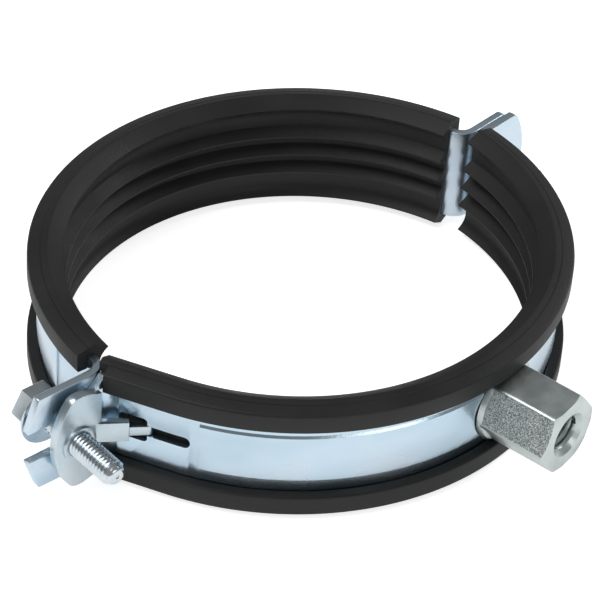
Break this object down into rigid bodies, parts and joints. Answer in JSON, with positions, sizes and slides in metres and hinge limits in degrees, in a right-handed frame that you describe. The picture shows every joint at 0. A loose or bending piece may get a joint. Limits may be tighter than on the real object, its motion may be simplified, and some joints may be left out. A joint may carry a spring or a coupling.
{
  "type": "pipe clamp",
  "caption": "Two-part rubber-lined steel pipe clamp with a swing-out screw lock, a screwed hinge side and a welded hexagon connection nut.",
  "frame": {"origin": "on the pipe axis, at the middle of the clamp's width", "axes": "+Z along the pipe, -Y towards the connection nut, -X towards the screw lock, +X towards the hinge"},
  "size_m": [0.1651, 0.137, 0.0306],
  "materials": {
    "band_steel": "bright zinc plated, satin",
    "nut_steel": "zinc plated, slightly blasted",
    "plate_steel": "zinc plated, satin",
    "screw_steel": "bright zinc plated",
    "lining_rubber": "matt black moulded"
  },
  "bodies": {
    "front_half": {"front_band": "band_steel", "front_rubber": "lining_rubber", "connection_nut": "nut_steel"},
    "back_half": {"back_band": "band_steel", "back_rubber": "lining_rubber"},
    "nut_plate": {"lock_nut_plate": "plate_steel"},
    "lock_screw": {"lock_screw": "screw_steel"},
    "hinge_screw": {"hinge_screw": "screw_steel"}
  },
  "joints": [
    {"name": "half_hinge", "type": "hinge", "parent": "front_half", "child": "back_half", "pos_m": [0.07958, -0.00772, 0], "axis": [0, 0, -1], "range_deg": [0, 1.2]},
    {"name": "lock_swing", "type": "hinge", "parent": "front_half", "child": "nut_plate", "pos_m": [-0.06155, -0.01296, 0], "axis": [0, 0, 1], "range_deg": [0, 45]},
    {"name": "lock_screw_travel", "type": "slide", "parent": "nut_plate", "child": "lock_screw", "axis": [0.1736, 0.9848, 0], "range_m": [0, 0.0149]},
    {"name": "hinge_screw_travel", "type": "slide", "parent": "front_half", "child": "hinge_screw", "axis": [0.0523, 0.9986, 0], "range_m": [-0.0008, 0.011]}
  ],
  "couplings": [
    {"joint": "lock_swing", "follows": "lock_screw_travel", "rad_per_m": 52.63}
  ]
}
